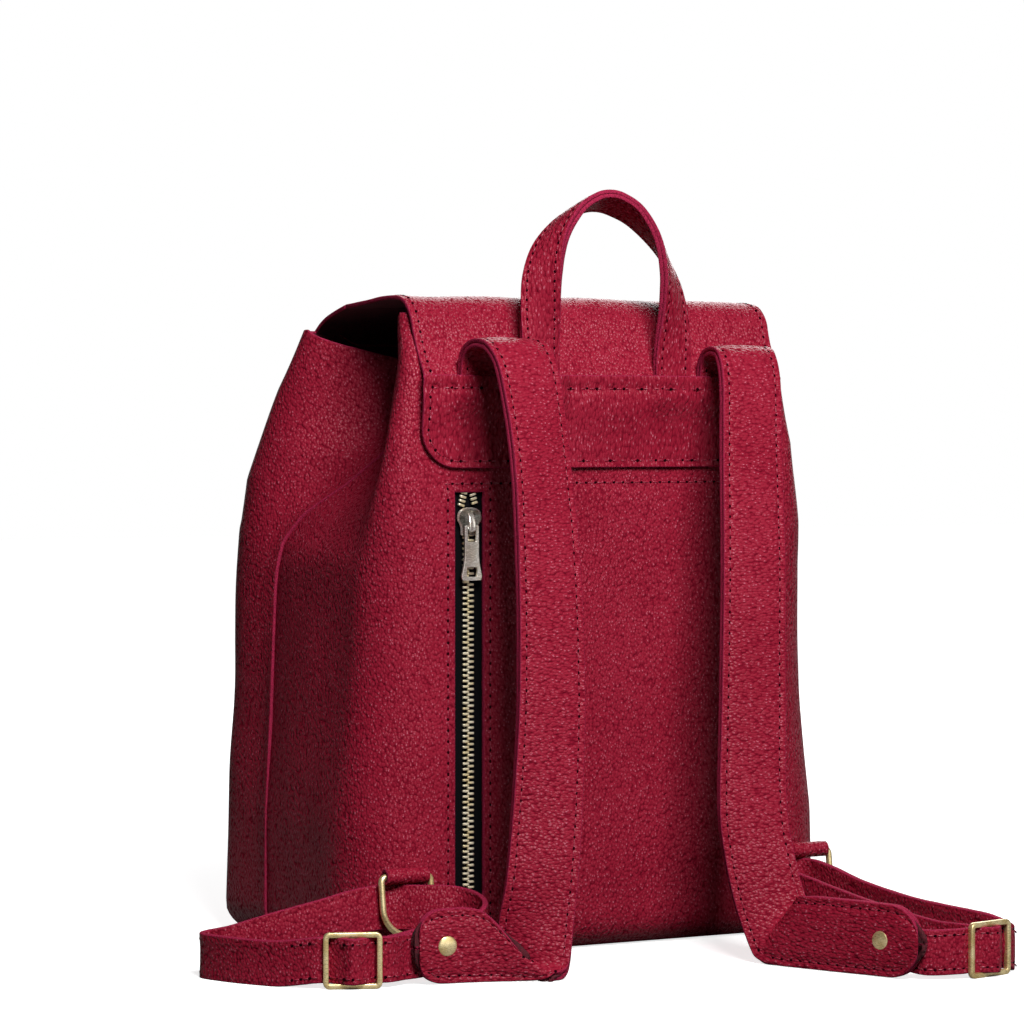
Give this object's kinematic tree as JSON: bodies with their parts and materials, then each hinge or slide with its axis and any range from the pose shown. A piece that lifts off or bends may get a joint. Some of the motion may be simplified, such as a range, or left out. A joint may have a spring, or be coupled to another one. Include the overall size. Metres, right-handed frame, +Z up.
{
  "type": "leather backpack",
  "caption": "Small gusseted leather backpack with fold-over flap, yoke, handle, zipped back pocket, two shoulder straps and buckled lower straps on D-rings.",
  "frame": {"origin": "middle of the flat underside of the base, on the surface the bag stands on", "axes": "+Z up; -Y is the front, where the flap closes; +Y is the wearer's back, with the straps; +X is the wearer's right when worn"},
  "size_m": [0.3378, 0.3203, 0.3539],
  "materials": {
    "leather": "pebbled semi-gloss",
    "leather_lining": "smooth matte",
    "pocket_cloth": "plain woven",
    "zip_tape": "twill tape",
    "zip_metal": "pale gold, polished",
    "brass": "antique, brushed"
  },
  "bodies": {
    "bag": {"front_panel": "leather", "back_panel": "leather", "base_panel": "leather", "pocket_lining": "pocket_cloth", "yoke": "leather", "flap_root": "leather", "snap_socket": "brass", "handle_roots": "leather", "zip_tape_left": "zip_tape", "zip_tape_right": "zip_tape", "zip_teeth_left": "zip_metal", "zip_teeth_right": "zip_metal", "zip_bottom_stop": "zip_metal", "shoulder_strap_left_face": "leather", "shoulder_strap_left_lining": "leather_lining", "shoulder_strap_right_face": "leather", "shoulder_strap_right_lining": "leather_lining", "rivet_left": "brass", "rivet_right": "brass", "lower_strap_left": "leather", "lower_strap_right": "leather", "buckle_left": "brass", "buckle_right": "brass", "ring_tab_left": "leather", "ring_tab_right": "leather"},
    "flap": {"flap": "leather"},
    "flap_front": {"flap_front": "leather", "snap_stud": "brass"},
    "handle": {"handle_face": "leather", "handle_lining": "leather_lining"},
    "zip_slider": {"zip_slider": "zip_metal"},
    "zip_puller": {"zip_puller": "zip_metal"},
    "d_ring_left": {"d_ring_left": "brass"},
    "d_ring_right": {"d_ring_right": "brass"}
  },
  "joints": [
    {"name": "flap_lift", "type": "hinge", "parent": "bag", "child": "flap", "pos_m": [0, 0.0642, 0.291], "axis": [-1, 0, 0], "range_deg": [0, 60]},
    {"name": "flap_front_lift", "type": "hinge", "parent": "flap", "child": "flap_front", "pos_m": [0, -0.0408, 0.291], "axis": [-1, 0, 0], "range_deg": [0, 95]},
    {"name": "handle_tilt", "type": "hinge", "parent": "bag", "child": "handle", "pos_m": [0, 0.078, 0.2759], "axis": [-1, 0, 0], "range_deg": [0, 50], "stiffness_Nm_per_rad": 0.15},
    {"name": "zip_slide", "type": "slide", "parent": "bag", "child": "zip_slider", "axis": [0, 0, -1], "range_m": [0, 0.16]},
    {"name": "puller_swing", "type": "hinge", "parent": "zip_slider", "child": "zip_puller", "pos_m": [0.073, 0.0769, 0.19895], "axis": [1, 0, 0], "range_deg": [0, 150]},
    {"name": "d_ring_left_swing", "type": "hinge", "parent": "bag", "child": "d_ring_left", "pos_m": [0.1085, 0.08, 0.0413], "axis": [1, 0, 0], "range_deg": [-3, 3]},
    {"name": "d_ring_right_swing", "type": "hinge", "parent": "bag", "child": "d_ring_right", "pos_m": [-0.1085, 0.08, 0.0413], "axis": [1, 0, 0], "range_deg": [-0.5, 8]}
  ]
}
